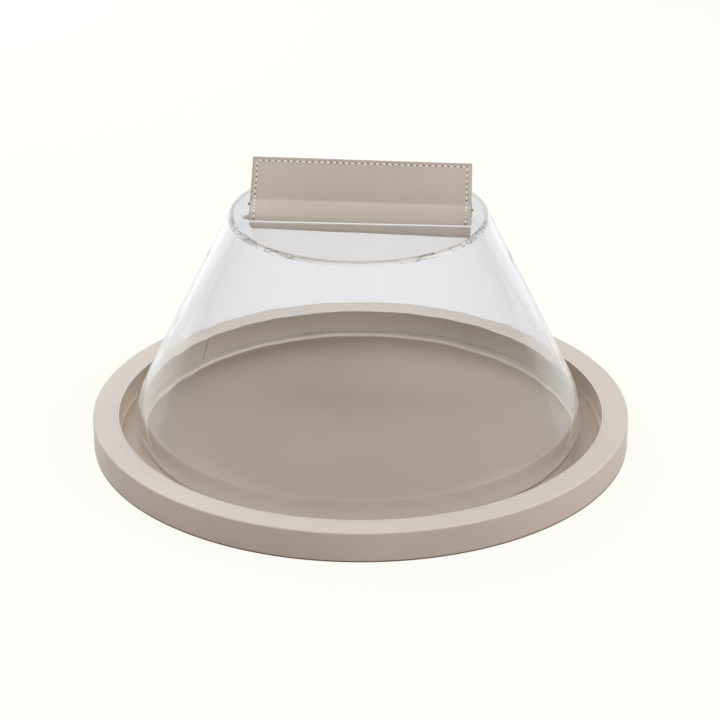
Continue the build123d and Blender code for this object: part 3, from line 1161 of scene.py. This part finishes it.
def studio_floor():
    """Pale floor that shows the background's white and keeps a faint shadow."""
    corners = [(-1, -1), (1, -1), (1, 1), (-1, 1)]
    mesh = bpy.data.meshes.new("studio_floor")
    mesh.from_pydata([(x * FLOOR_HALF, y * FLOOR_HALF, FLOOR_LEVEL) for x, y in corners], [], [[0, 1, 2, 3]])
    floor = bpy.data.objects.new("studio_floor", mesh)
    bpy.context.scene.collection.objects.link(floor)
    material, tree, output = new_material("studio_floor")
    path = add_node(tree, "ShaderNodeLightPath").outputs
    seen = [path["Is Glossy Ray"], path["Is Transmission Ray"], path["Is Camera Ray"]]
    share = chained(tree, "MULTIPLY", chained(tree, "MAXIMUM", *seen), FLOOR_GLOW)
    aside = size_of(tree, axes_of(tree, object_place(tree))["X"])
    mirrored = ranged(tree, aside, FLOOR_MIRRORED, over=FLOOR_MIRRORED_OVER)
    tint = mixed(tree, path["Is Camera Ray"], mirrored, BACKGROUND_WHITE)
    tint = mixed(tree, path["Is Transmission Ray"], tint, SEEN_THROUGH)
    glow = add_node(tree, "ShaderNodeEmission", {"Color": tint, "Strength": 1.0}).outputs["Emission"]
    matt = add_node(tree, "ShaderNodeBsdfDiffuse", {"Color": (*FLOOR_PAINT, 1)}).outputs["BSDF"]
    tree.links.new(mixed_shader(tree, share, matt, glow), output.inputs["Surface"])
    mesh.materials.append(material)


def background(tree, colour, strength=1.0):
    inputs = {"Color": colour, "Strength": strength}
    return add_node(tree, "ShaderNodeBackground", inputs).outputs["Background"]


def studio_world():
    """Pale surroundings, white where they are seen and a little dimmer as light and in reflections."""
    world = bpy.data.worlds.new("studio")
    bpy.context.scene.world = world
    world.use_nodes = True
    tree = world.node_tree
    tree.nodes.clear()
    output = tree.nodes.new("ShaderNodeOutputWorld")
    path = add_node(tree, "ShaderNodeLightPath").outputs
    way = add_node(tree, "ShaderNodeTexCoord").outputs["Generated"]
    mirrored = background(tree, ramp(tree, axes_of(tree, way)["Z"], SKY_MIRRORED))
    fill = background(tree, (*WARM_LIGHT, 1), FILL_STRENGTH)
    white = background(tree, (*BACKGROUND_WHITE, 1))
    seen = chained(tree, "MAXIMUM", path["Is Camera Ray"], path["Is Transmission Ray"])
    unseen = mixed_shader(tree, path["Is Glossy Ray"], fill, mirrored)
    tree.links.new(mixed_shader(tree, seen, unseen, white), output.inputs["Surface"])


def area_light(name, place, target, size, power, colour):
    """Soft round lamp that lights the object and is never seen itself."""
    data = bpy.data.lights.new(name, "AREA")
    data.shape = "DISK"
    data.size = size
    data.energy = power
    data.color = colour
    lamp = bpy.data.objects.new(name, data)
    lamp.location = place
    lamp.rotation_euler = (Vector(target) - Vector(place)).to_track_quat("-Z", "Y").to_euler()
    lamp.visible_camera = False
    lamp.visible_transmission = False
    lamp.visible_glossy = False
    bpy.context.scene.collection.objects.link(lamp)


def photo_camera():
    """Camera at the photograph's place, without roll or shift."""
    data = bpy.data.cameras.new("photo_camera")
    data.sensor_width = SENSOR_WIDTH
    data.lens = FOCAL_PIXELS / PHOTO_PIXELS * SENSOR_WIDTH
    camera = bpy.data.objects.new("photo_camera", data)
    c, s = cos(CAMERA_AZIMUTH), sin(CAMERA_AZIMUTH)
    camera.location = (
        CAMERA_SIDE_STEP * c + CAMERA_DISTANCE * s,
        CAMERA_SIDE_STEP * s - CAMERA_DISTANCE * c,
        CAMERA_HEIGHT,
    )
    camera.rotation_euler = (pi / 2 - CAMERA_TILT, 0, CAMERA_AZIMUTH)
    bpy.context.scene.collection.objects.link(camera)
    bpy.context.scene.camera = camera


def deep_glass():
    """Lets light bounce often enough in the acrylic."""
    cycles = bpy.context.scene.cycles
    cycles.max_bounces = cycles.glossy_bounces = cycles.transmission_bounces = GLASS_BOUNCES
    cycles.transparent_max_bounces = CLEAR_BOUNCES


studio_floor()
studio_world()
area_light("top_soft", (-0.08, -0.37, 1.6), AT_TRAY, size=0.5, power=6.3, colour=COOL_LIGHT)
area_light("back_soft", (-0.65, 1.15, 0.8), AT_TRAY, size=1.2, power=14.5, colour=COOL_LIGHT)
area_light("front_soft", (0.3, -1.75, 0.8), AT_COVER, size=1.2, power=8.5, colour=NEUTRAL_LIGHT)
area_light("right_soft", (1.7, -0.3, 0.8), AT_COVER, size=1.0, power=20.5, colour=WARM_LIGHT)
area_light("left_soft", (-1.7, -0.3, 0.8), AT_COVER, size=1.0, power=8.5, colour=WARM_LIGHT)
photo_camera()
deep_glass()
bpy.context.scene.view_settings.view_transform = "Standard"
